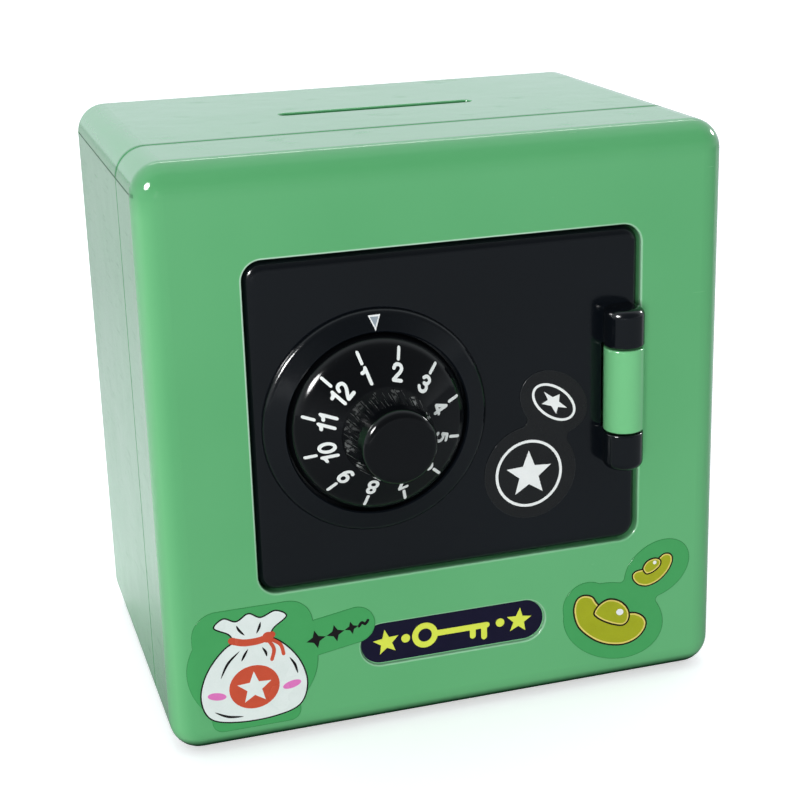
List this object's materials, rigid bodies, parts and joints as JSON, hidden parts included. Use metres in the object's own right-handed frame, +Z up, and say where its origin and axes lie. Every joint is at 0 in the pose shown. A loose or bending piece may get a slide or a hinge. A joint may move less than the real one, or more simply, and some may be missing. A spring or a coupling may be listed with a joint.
{
  "type": "toy safe coin bank",
  "caption": "Toy safe coin bank: box with rolled corners, coin slot in the top, barrel-hinged front door and a numbered dial lock with a fluted knob.",
  "frame": {"origin": "middle of the flat base, where the box stands", "axes": "+X to the right of the front, +Y from front to back (the door faces -Y), +Z up; the base's outward normal is -Z"},
  "size_m": [0.12, 0.1001, 0.121],
  "materials": {
    "green_housing": "glossy moulded",
    "black_plastic": "glossy moulded",
    "lock_plastic": "matte moulded",
    "steel": "zinc-plated",
    "spring_steel": "bright",
    "plate_film": "glossy printed film",
    "coin_film": "glossy printed film",
    "ingot_film": "glossy printed film",
    "bag_film": "glossy printed film"
  },
  "bodies": {
    "housing": {"front_cover": "green_housing", "rear_body": "green_housing", "body_screws": "steel", "latch_keeper": "black_plastic", "keeper_screws": "steel", "name_plate": "plate_film", "ingot_label": "ingot_film", "bag_label": "bag_film"},
    "door": {"door_panel": "black_plastic", "hinge_pin": "steel", "lock_cover": "black_plastic", "lock_cover_screws": "steel", "wheel_spacers": "lock_plastic", "spring_washer": "spring_steel", "coin_label": "coin_film"},
    "dial": {"dial_knob": "black_plastic", "drive_wheel": "lock_plastic", "dial_washer": "steel", "dial_screw": "steel"},
    "middle_wheel": {"tumbler_wheel_middle": "lock_plastic"},
    "front_wheel": {"tumbler_wheel_front": "lock_plastic"}
  },
  "joints": [
    {"name": "door_hinge", "type": "hinge", "parent": "housing", "child": "door", "pos_m": [0.036, -0.0442, 0.0685], "axis": [0, 0, 1], "range_deg": [0, 165]},
    {"name": "dial_spin", "type": "hinge", "parent": "door", "child": "dial", "pos_m": [-0.0158, -0.041, 0.0672], "axis": [0, 1, 0], "continuous": true},
    {"name": "middle_wheel_spin", "type": "hinge", "parent": "door", "child": "middle_wheel", "pos_m": [-0.0158, -0.041, 0.0672], "axis": [0, 1, 0], "continuous": true},
    {"name": "front_wheel_spin", "type": "hinge", "parent": "door", "child": "front_wheel", "pos_m": [-0.0158, -0.041, 0.0672], "axis": [0, 1, 0], "continuous": true}
  ],
  "couplings": [
    {"joint": "middle_wheel_spin", "follows": "dial_spin", "ratio": 1},
    {"joint": "front_wheel_spin", "follows": "dial_spin", "ratio": 1}
  ]
}
